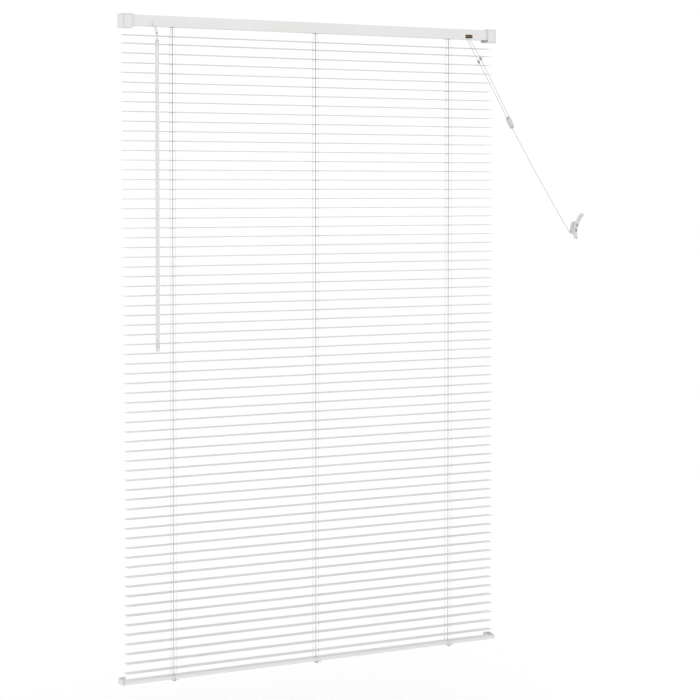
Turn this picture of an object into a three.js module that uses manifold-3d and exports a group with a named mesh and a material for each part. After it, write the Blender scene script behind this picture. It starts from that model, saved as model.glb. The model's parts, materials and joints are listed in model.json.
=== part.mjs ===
// Venetian blind with 25 mm slats, wand tilter, cord lock, wall cleat and hold-down brackets.
// Millimetres, +X right, -Y into the room, +Z up.
// The origin is the centre of the left box bracket's back face, on the wall.
import * as THREE from 'three';
import { mergeVertices } from 'three/addons/utils/BufferGeometryUtils.js';
import Module from 'manifold-3d';

const wasm = await Module();
wasm.setup();

// ---- driving dimensions; X from the blind's middle, Y from the slats' middle, Z from the headrail's top
const HEADRAIL_LENGTH = 996;
const HEADRAIL_DEPTH = 25;
const HEADRAIL_HEIGHT = 24;
const SHEET = 0.8;
const LIP = 3;
const GAP = 0.3;
const WALL_Y = 14;

const SLAT_LENGTH = 987;
const SLAT_WIDTH = 25;
const SLAT_CROWN = 1.7;
const SLAT_COUNT = 67;
const SLAT_STEP = 6;
const SLAT_METAL = 0.2;
const FIRST_SLAT_Z = -44.4;
const SECOND_SLAT_Z = -62.4;
const SLAT_PITCH = 21.5;
const ROUTE_HOLE = [4, 12];

const LADDER_X = [-371.5, 0, 371.5];
const SIDE_NAMES = ['left', 'middle', 'right'];
const LADDER_HALF = 13.5;
const LADDER_TOP_HALF = 8;
const LADDER_CORD = 1;
const LIFT_CORD = 1.4;
const CORD_LANES = [-3.5, 3.5, 0];

const ROD_Z = -9;
const ROD_RADIUS = 2.9;
const DRUM_GROOVE = 6;
const DRUM_FLANGE = 7;
const DRUM_WIDTH = 12;
const CRADLE_HALF = 11;

const TILTER_X = -421.5;
const STEM_TOP = new THREE.Vector3(TILTER_X, -8.6, -10.3);
const STEM_END = new THREE.Vector3(TILTER_X, -24, -43);
const WAND_Y = -24;
const WAND_TOP = -49;
const WAND_END = -745;
const WAND_ACROSS = 8.6;
const HOOD = { half: 5.7, top: -11.5, reach: 6.1 };

const LOCK_X = 423;
const LOCK_HALF = 14;
const ROLLER = { y: -7.6, z: -17, radius: 3.4, half: 9.8, axle: 1.2 };
const PULL_CORD = 1.4;
const TAIL_CORD = 2;

const RAIL_LENGTH = 997;
const RAIL_HEIGHT = 8;
const RAIL_TOP = -1476.5;
const RAIL_PIN_Z = RAIL_TOP - RAIL_HEIGHT / 2;
const CLIP_WIDTH = 15;

const BRACKET_WIDTH = 24;
const BRACKET_TOP = 1.7;
const BRACKET_BOTTOM = -29.8;
const BRACKET_FRONT = -16;
const PLATE = 1.2;

const CLEAT = { x: 755, z: -480.5, lean: 15, width: 9, upper: 37, lower: 29, reach: 33 };

// ---- materials
const paint = (colour) => new THREE.MeshStandardMaterial({ color: colour, roughness: 0.38, metalness: 0.1 });
const plastic = (colour, roughness = 0.45) =>
  new THREE.MeshStandardMaterial({ color: colour, roughness, metalness: 0 });
const metal = (colour, roughness = 0.35) =>
  new THREE.MeshStandardMaterial({ color: colour, roughness, metalness: 1 });
const fibre = (colour) => new THREE.MeshStandardMaterial({ color: colour, roughness: 0.9, metalness: 0 });

// ---- helpers
const centred = new THREE.Group();

function add(name, geometry, material) {
  const mesh = new THREE.Mesh(geometry, material);
  mesh.name = name;
  centred.add(mesh);
  return mesh;
}

function solid(geometry) {
  const bare = geometry.clone();
  bare.deleteAttribute('normal');
  bare.deleteAttribute('uv');
  const merged = mergeVertices(bare, 1e-4);
  return new wasm.Manifold(new wasm.Mesh({
    numProp: 3,
    vertProperties: new Float32Array(merged.attributes.position.array),
    triVerts: new Uint32Array(merged.index.array),
  }));
}

function geometryOf(manifold) {
  const made = manifold.getMesh();
  const geometry = new THREE.BufferGeometry();
  geometry.setAttribute('position', new THREE.BufferAttribute(new Float32Array(made.vertProperties), 3));
  geometry.setIndex(new THREE.BufferAttribute(new Uint32Array(made.triVerts), 1));
  geometry.computeVertexNormals();
  return geometry;
}

function carve(base, adds = [], cuts = []) {
  let body = solid(base);
  for (const extra of adds) body = body.add(solid(extra));
  for (const gone of cuts) body = body.subtract(solid(gone));
  return geometryOf(body);
}

function box(x0, x1, y0, y1, z0, z1) {
  const geometry = new THREE.BoxGeometry(Math.abs(x1 - x0), Math.abs(y1 - y0), Math.abs(z1 - z0));
  return geometry.translate((x0 + x1) / 2, (y0 + y1) / 2, (z0 + z1) / 2);
}

function outline(points, holes = []) {
  const shape = new THREE.Shape(points.map(([a, b]) => new THREE.Vector2(a, b)));
  for (const hole of holes) shape.holes.push(new THREE.Path(hole.map(([a, b]) => new THREE.Vector2(a, b))));
  return shape;
}

function roundedRect(half, low, high, radius, steps = 3) {
  const points = [];
  const corners = [[half, high, 0], [-half, high, 1], [-half, low, 2], [half, low, 3]];
  for (const [a, b, quarter] of corners) {
    for (let i = 0; i <= steps; i += 1) {
      const turn = (quarter + i / steps) * Math.PI / 2;
      const centreA = a - Math.sign(a) * radius;
      const centreB = b === high ? high - radius : low + radius;
      points.push([centreA + radius * Math.cos(turn), centreB + radius * Math.sin(turn)]);
    }
  }
  return points;
}

const AXES = {
  x: new THREE.Matrix4().makeBasis(
    new THREE.Vector3(0, 1, 0), new THREE.Vector3(0, 0, 1), new THREE.Vector3(1, 0, 0)),
  y: new THREE.Matrix4().makeBasis(
    new THREE.Vector3(0, 0, 1), new THREE.Vector3(1, 0, 0), new THREE.Vector3(0, 1, 0)),
};

// A (y, z) outline pushed along X, or a (z, x) outline pushed along Y.
function push(shape, axis, from, to) {
  const geometry = new THREE.ExtrudeGeometry(shape, { depth: to - from, bevelEnabled: false, curveSegments: 8 });
  geometry.translate(0, 0, from);
  return geometry.applyMatrix4(AXES[axis]);
}

// A turned solid from (radius, height) points, standing on +Z.
function turned(profile, sides = 16) {
  const points = profile.map(([r, h]) => new THREE.Vector2(r, h));
  return new THREE.LatheGeometry(points, sides).rotateX(Math.PI / 2);
}

function ring(inner, outer, low, high, sides = 16) {
  return turned([[inner, low], [outer, low], [outer, high], [inner, high], [inner, low]], sides);
}

function disc(radius, low, high, sides = 16) {
  return turned([[0, low], [radius, low], [radius, high], [0, high]], sides);
}

const alongX = (geometry) => geometry.rotateY(Math.PI / 2);

// Turns a +Z solid to point along a direction and moves it to a place.
function aimed(geometry, place, direction) {
  const turn = new THREE.Quaternion().setFromUnitVectors(
    new THREE.Vector3(0, 0, 1), direction.clone().normalize());
  return geometry.applyQuaternion(turn).translate(place.x, place.y, place.z);
}

// A route whose steps fall on its own points.
class Route extends THREE.Curve {
  constructor(points) {
    super();
    this.points = points.map((p) => new THREE.Vector3(...p));
  }

  getPoint(t, target = new THREE.Vector3()) {
    const last = this.points.length - 1;
    const at = Math.min(Math.max(t, 0), 1) * last;
    const i = Math.min(Math.floor(at), last - 1);
    return target.lerpVectors(this.points[i], this.points[i + 1], at - i);
  }

  getPointAt(u, target) {
    return this.getPoint(u, target);
  }

  getTangentAt(u, target) {
    return this.getTangent(u, target);
  }
}

function tube(points, diameter, sides = 8) {
  const section = new THREE.Shape();
  for (let i = 0; i < sides; i += 1) {
    const turn = i / sides * 2 * Math.PI;
    const corner = [Math.cos(turn) * diameter / 2, Math.sin(turn) * diameter / 2];
    if (i === 0) section.moveTo(...corner);
    else section.lineTo(...corner);
  }
  const path = new Route(points);
  return new THREE.ExtrudeGeometry(section, {
    extrudePath: path, steps: points.length - 1, bevelEnabled: false,
  });
}

const slatZ = (index) => (index === 0 ? FIRST_SLAT_Z : SECOND_SLAT_Z - (index - 1) * SLAT_PITCH);
const mirrored = (side, a, b) => (side < 0 ? [-b, -a] : [a, b]);

// ---- headrail: a U channel open at the top, with turned-in lips
function headrail() {
  const d = HEADRAIL_DEPTH / 2;
  const h = -HEADRAIL_HEIGHT;
  const channel = outline([
    [-d, h], [d, h], [d, 0], [d - LIP, 0], [d - LIP, -SHEET], [d - SHEET, -SHEET],
    [d - SHEET, h + SHEET], [SHEET - d, h + SHEET], [SHEET - d, -SHEET], [LIP - d, -SHEET], [LIP - d, 0], [-d, 0],
  ]);
  const cuts = LADDER_X.map((x) => box(x - 5, x + 5, -10.9, 10.9, h - 1, h + 2));
  const hoodHalf = HOOD.half + GAP;
  cuts.push(box(TILTER_X - hoodHalf, TILTER_X + hoodHalf, -d - 1, -6, h - 1, HOOD.top + GAP));
  cuts.push(box(LOCK_X - 10.6, LOCK_X + 10.6, -d - 1, -9, -21.5, -12.6));
  cuts.push(box(LOCK_X - 9.6, LOCK_X + 9.6, -11.4, -6.6, h - 1, h + 2));
  return carve(push(channel, 'x', -HEADRAIL_LENGTH / 2, HEADRAIL_LENGTH / 2), [], cuts);
}

function endPlug(side) {
  const d = HEADRAIL_DEPTH / 2 - SHEET - GAP;
  const inside = HEADRAIL_LENGTH / 2 - GAP;
  const [x0, x1] = mirrored(side, inside - 14, inside);
  const [hollow0, hollow1] = mirrored(side, inside - 15, inside - 2);
  return carve(
    box(x0, x1, -d, d, -HEADRAIL_HEIGHT + SHEET + GAP, -SHEET - GAP),
    [],
    [box(hollow0, hollow1, -d + 2, -1, -21, -3), box(hollow0, hollow1, 1, d - 2, -21, -3)],
  );
}

// ---- box bracket: back, top, bottom and outer side, open to the room, with a support step
function boxBracket(side) {
  const outer = HEADRAIL_LENGTH / 2 + GAP + PLATE;
  const inner = outer - BRACKET_WIDTH;
  const [x0, x1] = mirrored(side, inner, outer);
  const [s0, s1] = mirrored(side, outer - PLATE, outer);
  const [t0, t1] = mirrored(side, inner + 3, outer - PLATE);
  const front = BRACKET_FRONT + PLATE + GAP;
  const shelf = -HEADRAIL_HEIGHT - GAP;
  const [h0, h1] = mirrored(side, inner + 6, inner + 11);
  const back = box(x0, x1, WALL_Y - PLATE, WALL_Y, BRACKET_BOTTOM, BRACKET_TOP);
  const walls = [
    box(x0, x1, front, WALL_Y, BRACKET_TOP - PLATE, BRACKET_TOP),
    box(x0, x1, front, WALL_Y, BRACKET_BOTTOM, BRACKET_BOTTOM + PLATE),
    box(s0, s1, front, WALL_Y, BRACKET_BOTTOM, BRACKET_TOP),
    box(t0, t1, -2, 2, BRACKET_BOTTOM, shelf),
    box(t0, t1, 9, 12.9, BRACKET_BOTTOM, shelf),
  ];
  const holes = [
    box(h0, h1, WALL_Y - 3, WALL_Y + 1, -8, -4),
    box(h0, h1, -4, 4, BRACKET_TOP - 3, BRACKET_TOP + 1),
  ];
  return carve(back, walls, holes);
}

// ---- door of the bracket: a plate on a top hinge, with a lower lip that snaps under the box
function bracketDoor(side) {
  const outer = HEADRAIL_LENGTH / 2 + GAP + PLATE;
  const inner = outer - BRACKET_WIDTH;
  const chamfer = 4;
  const low = BRACKET_BOTTOM - GAP - PLATE;
  const edge = [
    [BRACKET_TOP, side * outer], [BRACKET_TOP, side * inner],
    [low + chamfer, side * inner], [low, side * (inner + chamfer)], [low, side * outer],
  ];
  const plate = push(outline(side < 0 ? edge : edge.reverse()), 'y', BRACKET_FRONT, BRACKET_FRONT + PLATE);
  const [l0, l1] = mirrored(side, inner + 7, outer - 4);
  return carve(plate, [box(l0, l1, BRACKET_FRONT, BRACKET_FRONT + 6, low, low + 1)]);
}

// ---- tilt mechanism
const rodStart = TILTER_X - 20;
const rodEnd = LADDER_X[2] + 20;

function tiltRod() {
  const bar = new THREE.CylinderGeometry(ROD_RADIUS, ROD_RADIUS, rodEnd - rodStart, 6);
  return bar.rotateZ(Math.PI / 2).translate((rodStart + rodEnd) / 2, 0, ROD_Z);
}

function tiltDrum(x) {
  const half = DRUM_WIDTH / 2;
  const bore = ROD_RADIUS + GAP;
  const profile = [
    [bore, -half], [DRUM_FLANGE, -half], [DRUM_FLANGE, -half + 1.5], [DRUM_GROOVE, -half + 2.5],
    [DRUM_GROOVE, half - 2.5], [DRUM_FLANGE, half - 1.5], [DRUM_FLANGE, half], [bore, half], [bore, -half],
  ];
  return alongX(turned(profile, 20)).translate(x, 0, ROD_Z);
}

// A U-shaped stand with a collar that fills the headrail's slot from inside.
function drumCradle(x) {
  const floor = -HEADRAIL_HEIGHT + SHEET + GAP;
  const base = box(x - CRADLE_HALF, x + CRADLE_HALF, -11.3, 11.3, floor, floor + 2.6);
  const walls = [-1, 1].map((s) => {
    const [a, b] = s < 0 ? [x - CRADLE_HALF, x - CRADLE_HALF + 2.4] : [x + CRADLE_HALF - 2.4, x + CRADLE_HALF];
    return box(a, b, -9.5, 9.5, floor, ROD_Z + 2);
  });
  const collar = box(x - 4.6, x + 4.6, -10.5, 10.5, -HEADRAIL_HEIGHT - 0.6, floor + 1);
  const through = box(x - 3.2, x + 3.2, -9.3, 9.3, -HEADRAIL_HEIGHT - 3, floor + 4);
  const rodNotch = box(x - 20, x + 20, -ROD_RADIUS - GAP, ROD_RADIUS + GAP, ROD_Z - ROD_RADIUS - GAP, 4);
  const cordNotch = box(x - 20, x + 20, -6, 6, floor + 2.6, -16);
  return carve(base, [...walls, collar], [through, rodNotch, cordNotch]);
}

const stemAxis = STEM_END.clone().sub(STEM_TOP).normalize();
const WORM_TEETH = 12;
const WHEEL_RADIUS = 4.4;

function wormWheel() {
  const teeth = [];
  for (let i = 0; i < WORM_TEETH; i += 1) {
    for (const [part, radius] of [[0.15, WHEEL_RADIUS], [0.4, WHEEL_RADIUS], [0.6, 3.8], [0.95, 3.8]]) {
      const turn = (i + part) / WORM_TEETH * 2 * Math.PI;
      teeth.push([radius * Math.cos(turn), radius * Math.sin(turn)]);
    }
  }
  const bore = [];
  for (let i = 0; i < 12; i += 1) {
    const turn = -i / 12 * 2 * Math.PI;
    bore.push([(ROD_RADIUS + GAP) * Math.cos(turn), (ROD_RADIUS + GAP) * Math.sin(turn)]);
  }
  return push(outline(teeth, [bore]), 'x', TILTER_X - 3, TILTER_X + 3).translate(0, 0, ROD_Z);
}

// Worm, shaft and the eye that the wand hangs from.
function tilterStem() {
  const length = STEM_TOP.distanceTo(STEM_END);
  const worm = 8;
  const profile = [[0, 0]];
  for (let h = 0; h < worm; h += 2) {
    profile.push([1.8, h], [2.3, h + 0.7], [2.3, h + 1.2], [1.8, h + 1.9]);
  }
  profile.push([1.8, worm + 8.2], [3, worm + 9.7], [3, length - 5], [2.4, length - 4.4], [2.4, length - 0.8],
    [1.6, length], [0, length]);
  return aimed(turned(profile, 12), STEM_TOP, stemAxis);
}

// Holds the worm and carries the rod's end: two cheeks joined by a floor, and a sloping hood that
// fills the headrail's notch and covers the stem where it comes out.
function tilterHousing() {
  const floor = -HEADRAIL_HEIGHT + SHEET + GAP;
  const base = box(TILTER_X - 14, TILTER_X + 14, -11.3, 11.3, floor, floor + 2.5);
  const cheeks = [
    box(TILTER_X - 14, TILTER_X - 8, -11.3, 11.3, floor, -2.5),
    box(TILTER_X + 8, TILTER_X + 14, -11.3, 11.3, floor, -2.5),
  ];
  const rodHole = alongX(disc(ROD_RADIUS + GAP, -20, 20, 12)).translate(TILTER_X, 0, ROD_Z);
  const face = -HEADRAIL_DEPTH / 2;
  const hood = push(outline([
    [-6.3, HOOD.top], [face - 0.2, HOOD.top], [face - HOOD.reach, -HEADRAIL_HEIGHT], [-6.3, -HEADRAIL_HEIGHT],
  ]), 'x', TILTER_X - HOOD.half, TILTER_X + HOOD.half);
  const wormSpace = aimed(disc(2.7, -3, 9, 16), STEM_TOP, stemAxis);
  const shaftSpace = aimed(disc(2.2, 8, 30, 16), STEM_TOP, stemAxis);
  const wheelSpace = alongX(disc(WHEEL_RADIUS + 0.6, -4, 4, 20)).translate(TILTER_X, 0, ROD_Z);
  return carve(base, [...cheeks, hood], [rodHole, wormSpace, shaftSpace, wheelSpace]);
}

// The dark clip that joins the stem's eye to the wand's neck.
function wandConnector() {
  const z = STEM_END.z;
  const body = turned([[0, z - 9], [1.9, z - 9], [2.5, z - 7], [2.5, z - 2.2], [1.2, z - 1.2], [0, z - 1.2]], 12);
  return body.translate(TILTER_X, WAND_Y, 0);
}

function wandRod() {
  const radius = WAND_ACROSS / Math.sqrt(3);
  const neckTop = STEM_END.z - 9.3;
  const shaft = new THREE.CylinderGeometry(radius, radius, WAND_TOP - 11 - WAND_END - 6, 6);
  shaft.rotateX(Math.PI / 2).translate(0, 0, (WAND_TOP - 11 + WAND_END + 6) / 2);
  const neck = turned([[0, WAND_TOP - 13], [3.6, WAND_TOP - 13], [3.6, WAND_TOP - 10.5], [1.7, neckTop - 2],
    [1.7, neckTop], [0, neckTop]], 12);
  const tip = turned([[0, WAND_END], [3.4, WAND_END], [4.6, WAND_END + 1.5], [4.6, WAND_END + 8], [0, WAND_END + 8]], 12);
  return carve(shaft, [neck, tip]).translate(TILTER_X, WAND_Y, 0);
}

// ---- cord lock
function lockHousing() {
  const floor = -HEADRAIL_HEIGHT + SHEET + GAP;
  const block = box(LOCK_X - LOCK_HALF, LOCK_X + LOCK_HALF, -11.3, 11.3, floor, -5);
  const cuts = [
    box(LOCK_X - 10.2, LOCK_X + 10.2, -12, -3.6, -21.3, -12.8),
    box(LOCK_X - 9.2, LOCK_X + 9.2, -11, -6.8, floor - 1, -20),
    box(LOCK_X - LOCK_HALF - 1, LOCK_X - 2, -6, 6, -20.4, -15.6),
    box(LOCK_X - 9, LOCK_X + 9, -3, 8, -12, -4),
    alongX(disc(ROLLER.axle + GAP, -12.5, 12.5, 10)).translate(LOCK_X, ROLLER.y, ROLLER.z),
  ];
  return carve(block, [], cuts);
}

function lockRoller() {
  const { half, radius, axle } = ROLLER;
  const profile = [[0, -half - 2.2], [axle, -half - 2.2], [axle, -half], [radius - 0.4, -half], [radius, -half + 0.5],
    [radius, half - 0.5], [radius - 0.4, half], [axle, half], [axle, half + 2.2], [0, half + 2.2]];
  return alongX(turned(profile, 14)).translate(LOCK_X, ROLLER.y, ROLLER.z);
}

// ---- slats
function slat(index, thickness) {
  const w = SLAT_WIDTH / 2;
  const radius = (w * w + SLAT_CROWN * SLAT_CROWN) / (2 * SLAT_CROWN);
  const spread = Math.asin(w / radius);
  const edge = (r, steps, way) => {
    const points = [];
    for (let i = 0; i <= steps; i += 1) {
      const turn = way * (1 - 2 * i / steps) * spread;
      points.push([r * Math.sin(turn), r * Math.cos(turn) - radius + SLAT_CROWN / 2]);
    }
    return points;
  };
  const section = outline([...edge(radius, 6, 1), ...edge(radius - thickness, 6, -1)]);
  const z = slatZ(index);
  const body = push(section, 'x', -SLAT_LENGTH / 2, SLAT_LENGTH / 2).translate(0, 0, z);
  const [wide, deep] = ROUTE_HOLE;
  const holes = LADDER_X.map((x) => box(x - wide / 2, x + wide / 2, -deep / 2, deep / 2, z - 5, z + 5));
  return carve(body, [], holes);
}

// ---- cords that the blind holds from end to end
const railHole = RAIL_TOP - 2;

function ladderCord(x, way) {
  const y = way * LADDER_HALF;
  const top = way * LADDER_TOP_HALF;
  return tube([
    [x, top, -14.5], [x, top, -36], [x, way * (LADDER_TOP_HALF + 0.6), -38.6],
    [x, way * (LADDER_HALF - 0.6), -43.4], [x, y, -45], [x, y, -400], [x, y, -800], [x, y, slatZ(SLAT_COUNT - 1) - 1],
  ], LADDER_CORD);
}

function liftCord(x, lane) {
  const along = -18;
  const start = LOCK_X - LOCK_HALF - 3;
  const points = [[x, 0, railHole], [x, 0, -1000], [x, 0, -500], [x, 0, -27]];
  for (let i = 1; i <= 4; i += 1) {
    const turn = i / 4 * Math.PI / 2;
    points.push([x + 3.4 * (1 - Math.cos(turn)), 0, along - 3.4 + 3.4 * Math.sin(turn)]);
  }
  const shift = Math.min(20, (start - x) * 0.3);
  points.push([x + 3.4 + shift * 0.5, lane * 0.5, along], [x + 3.4 + shift, lane, along]);
  points.push([start, lane, along], [start + 7, lane, along]);
  return tube(points, LIFT_CORD);
}

// ---- bottom rail
function bottomRail() {
  const d = SLAT_WIDTH / 2;
  const low = RAIL_TOP - RAIL_HEIGHT;
  const wall = 0.9;
  const outer = roundedRect(d, low, RAIL_TOP, 2);
  const inner = roundedRect(d - wall, low + wall, RAIL_TOP - wall, 1.1).reverse();
  const tubeBody = push(outline(outer, [inner]), 'x', -RAIL_LENGTH / 2, RAIL_LENGTH / 2);
  const cuts = LADDER_X.map((x) => disc(2.6, RAIL_TOP - 3, RAIL_TOP + 1, 12).translate(x, 0, 0));
  return carve(tubeBody, [], cuts);
}

function railCap(side) {
  const low = RAIL_TOP - RAIL_HEIGHT;
  const end = RAIL_LENGTH / 2;
  const [c0, c1] = mirrored(side, end + GAP, end + 2.3);
  const [p0, p1] = mirrored(side, end - 12, end + 1);
  const face = push(outline(roundedRect(SLAT_WIDTH / 2, low, RAIL_TOP, 2)), 'x', c0, c1);
  const plug = push(outline(roundedRect(SLAT_WIDTH / 2 - 1.3, low + 1.3, RAIL_TOP - 1.3, 0.9)), 'x', p0, p1);
  const pinHole = alongX(disc(1.9, -5, 5, 12)).translate(side * (end + 1), 0, RAIL_PIN_Z);
  return carve(face, [plug], [pinHole]);
}

// A plastic clip that hugs the rail from below and pins the ladder's cords to it.
function ladderClip(x) {
  const low = RAIL_TOP - RAIL_HEIGHT;
  const inner = SLAT_WIDTH / 2 + GAP;
  const outer = SLAT_WIDTH / 2 + 1.9;
  const lip = RAIL_TOP - 1;
  const section = outline([
    [-outer, lip], [-outer, low - 1], [3 - outer, low - 3.2], [outer - 3, low - 3.2], [outer, low - 1], [outer, lip],
    [inner, lip], [inner, low - GAP], [-inner, low - GAP], [-inner, lip],
  ]);
  return push(section, 'x', x - CLIP_WIDTH / 2, x + CLIP_WIDTH / 2);
}

// ---- hold-down bracket: a wall plate behind the rail's end, a tapering cheek and its pin
function holdDown(side) {
  const cheekIn = RAIL_LENGTH / 2 + 3.2;
  const cheekOut = cheekIn + PLATE;
  const high = RAIL_TOP + 5.5;
  const low = RAIL_TOP - RAIL_HEIGHT - 0.5;
  const [p0, p1] = mirrored(side, cheekIn - 16, cheekOut);
  const [c0, c1] = mirrored(side, cheekIn, cheekOut);
  const plate = box(p0, p1, WALL_Y - PLATE, WALL_Y, low, high);
  const cheek = push(outline([
    [WALL_Y, low], [WALL_Y, high], [WALL_Y - 4, high], [-8, RAIL_PIN_Z + 4.5], [-11.6, RAIL_PIN_Z + 2],
    [-11.6, RAIL_PIN_Z - 2], [-8, RAIL_PIN_Z - 4.5], [WALL_Y - 4, low],
  ].reverse()), 'x', c0, c1);
  const pin = alongX(disc(1.5, -4.2, 0.6, 12)).translate(0, 0, RAIL_PIN_Z);
  if (side < 0) pin.rotateZ(Math.PI);
  pin.translate(side * cheekIn, 0, 0);
  const hole = box(...mirrored(side, cheekIn - 11, cheekIn - 7), WALL_Y - 3, WALL_Y + 1, RAIL_TOP - 4, RAIL_TOP);
  return carve(plate, [cheek, pin], [hole]);
}

// ---- pull cords, their stops, the joiner, the tail and the wall cleat
const JOINER_TOP = new THREE.Vector3(537.5, -11.9, -208.8);
const JOINER_END = new THREE.Vector3(552.9, -11, -235.5);
const joinerAxis = JOINER_END.clone().sub(JOINER_TOP).normalize();
const STOP_AT = 8;

const leftPull = [
  [420.5, -9.2, -21.6], [420.4, -9.6, -24.5], [420.2, -10.6, -26.8], [420.5, -12.4, -29.4],
  [421.6, -13.8, -32.4], [423.6, -14.4, -36], [431, -14.5, -47.6], [440.4, -14.5, -62.4],
  [450, -14.4, -77.3], [462, -14.4, -96], [474, -14.4, -114.8], [486, -14.4, -133.6],
  [497.5, -14.2, -151.7], [510, -13.6, -171.3], [521.5, -13, -189.6], [529.6, -12.4, -202.5],
  [534.4, -11.9, -210.2],
];
const rightPull = [
  [427.6, -9.2, -21.6], [427.5, -9.6, -24.5], [427.5, -10.6, -26.8], [428, -12.4, -29.4],
  [429.4, -13.8, -32.2], [431.6, -14.4, -35.4], [438, -14.5, -44.2], [446.6, -14.5, -56.2],
  [455.7, -14.4, -69.1], [467.4, -14.4, -88.1], [479.2, -14.4, -107.3], [491, -14.4, -126.5],
  [502.8, -14.1, -145.8], [514.6, -13.5, -165], [526.4, -12.8, -184.2], [534.6, -12.3, -197.5],
  [540.3, -11.9, -206.8],
];
const tailStart = [
  [553.1, -11, -235.8], [557.1, -10.6, -242.6], [569.3, -9.5, -259.9], [584.9, -8.1, -282.5],
  [600.5, -6.7, -304.7], [616.1, -5.3, -326.6], [631.8, -3.9, -348.3], [647.5, -2.6, -369.8],
  [663.1, -1.2, -391], [678.8, 0.2, -411.9], [694.3, 1.6, -432.5], [710, 3.4, -452.7], [725.6, 5.5, -472.6],
  [736.4, 7, -485.8], [742.2, 7.7, -492], [746.4, 8, -495.2], [750.6, 8, -496],
];

// Points of the turn round the cleat's neck, in the cleat's own frame: across, out of the wall, along.
function cleatTurn() {
  const across = CLEAT.width / 2 + 2.2;
  const along = 14.2;
  const corner = 4.2;
  const corners = [[across, -along, 3], [across, along, 0], [-across, along, 1], [-across, -along, 2]];
  const points = [];
  for (const [a, b, quarter] of corners) {
    for (let i = 0; i <= 3; i += 1) {
      const turn = (quarter + i / 3) * Math.PI / 2;
      points.push([
        a - Math.sign(a) * corner + corner * Math.cos(turn),
        6 + points.length / 3,
        b - Math.sign(b) * corner + corner * Math.sin(turn),
      ]);
    }
  }
  points.push([across - corner, 11.4, -along]);
  return points;
}

const lean = THREE.MathUtils.degToRad(CLEAT.lean);

// From the cleat's own frame (across, out, along) to the blind's.
function fromCleat([across, out, along]) {
  return [
    CLEAT.x + across * Math.cos(lean) + along * Math.sin(lean),
    WALL_Y - out,
    CLEAT.z - across * Math.sin(lean) + along * Math.cos(lean),
  ];
}

function onCleat(geometry) {
  return geometry.rotateY(lean).translate(CLEAT.x, WALL_Y, CLEAT.z);
}

function cordCleat() {
  const { upper, lower, reach } = CLEAT;
  const shape = new THREE.Shape();
  shape.moveTo(-14, 0);
  shape.lineTo(14, 0);
  shape.quadraticCurveTo(11, 4.5, 11, 9);
  shape.quadraticCurveTo(13, 13.5, 20, 15.5);
  shape.quadraticCurveTo(upper - 6, 18.5, upper, reach - 4);
  shape.quadraticCurveTo(upper, reach, upper - 4, reach);
  shape.quadraticCurveTo(22, 19.5, 0, 17.5);
  shape.quadraticCurveTo(-19, 19.5, 4 - lower, reach - 5);
  shape.quadraticCurveTo(-lower, reach - 5, -lower, reach - 9);
  shape.quadraticCurveTo(5 - lower, 18.5, -18, 15.5);
  shape.quadraticCurveTo(-13, 13.5, -11, 9);
  shape.quadraticCurveTo(-11, 4.5, -14, 0);
  const side = new THREE.ExtrudeGeometry(shape, { depth: CLEAT.width, bevelEnabled: false, curveSegments: 4 });
  side.translate(0, 0, -CLEAT.width / 2);
  side.applyMatrix4(new THREE.Matrix4().makeBasis(
    new THREE.Vector3(0, 0, 1), new THREE.Vector3(0, -1, 0), new THREE.Vector3(1, 0, 0)));
  const pad = box(-6.5, 6.5, -3, 0, -14, 14);
  const holes = [-1, 1].flatMap((s) => [
    disc(2.1, -1, 30, 12).rotateX(Math.PI / 2).translate(0, 0, s * 6.3),
    disc(3.8, 14, 30, 12).rotateX(Math.PI / 2).translate(0, 0, s * 6.3),
  ]);
  return onCleat(carve(side, [pad], holes));
}

function cleatScrew(way) {
  const profile = [[0, 0.3], [1.7, 0.3], [1.7, 14.3], [3.5, 14.3], [3.5, 15.2], [2.4, 16.2], [0, 16.2]];
  return onCleat(turned(profile, 12).rotateX(Math.PI / 2).translate(0, 0, way * 6.3));
}

function cordStop(route, index) {
  const place = new THREE.Vector3(...route[index]);
  const along = new THREE.Vector3(...route[index + 1]).sub(new THREE.Vector3(...route[index - 1]));
  const bore = PULL_CORD / 2 + GAP;
  const profile = [[bore, -4.2], [2.2, -4.2], [3.1, -2.6], [3.1, 2.6], [2.2, 4.2], [bore, 4.2], [bore, -4.2]];
  return aimed(turned(profile, 12), place, along);
}

function cordJoiner() {
  const length = JOINER_TOP.distanceTo(JOINER_END);
  const profile = [[0, 0], [4.6, 0], [5.4, 1], [5.4, 4], [6.4, 5.4], [6.5, 9], [6.5, length - 9], [6.4, length - 5.4],
    [5.2, length - 4], [5.2, length - 1.6], [3.6, length], [0, length]];
  return aimed(turned(profile, 16), JOINER_TOP, joinerAxis);
}

// ---- assembly
const white = paint(0xe6e6e4);
add('headrail', headrail(), white);
for (const [side, name] of [[-1, 'left'], [1, 'right']]) {
  add(`headrail_plug_${name}`, endPlug(side), plastic(0xdededb));
  add(`bracket_${name}`, boxBracket(side), paint(0xe7e8ec));
  add(`bracket_door_${name}`, bracketDoor(side), paint(0xe9e9ea));
  add(`rail_cap_${name}`, railCap(side), plastic(0xe0e0de));
  add(`hold_down_${name}`, holdDown(side), plastic(0xe4e4e2));
}
add('tilt_rod', tiltRod(), metal(0xa9abad));
add('worm_wheel', wormWheel(), plastic(0xd8d6cf));
add('tilter_housing', tilterHousing(), plastic(0xdcdcda));
add('tilter_stem', tilterStem(), plastic(0xe2e2e0));
add('wand_connector', wandConnector(), plastic(0x6f7072, 0.3));
add('wand', wandRod(), plastic(0xd9dbdc, 0.15));
add('lock_housing', lockHousing(), plastic(0xe0e0de));
add('lock_roller', lockRoller(), metal(0x9a6f42, 0.4));

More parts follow.
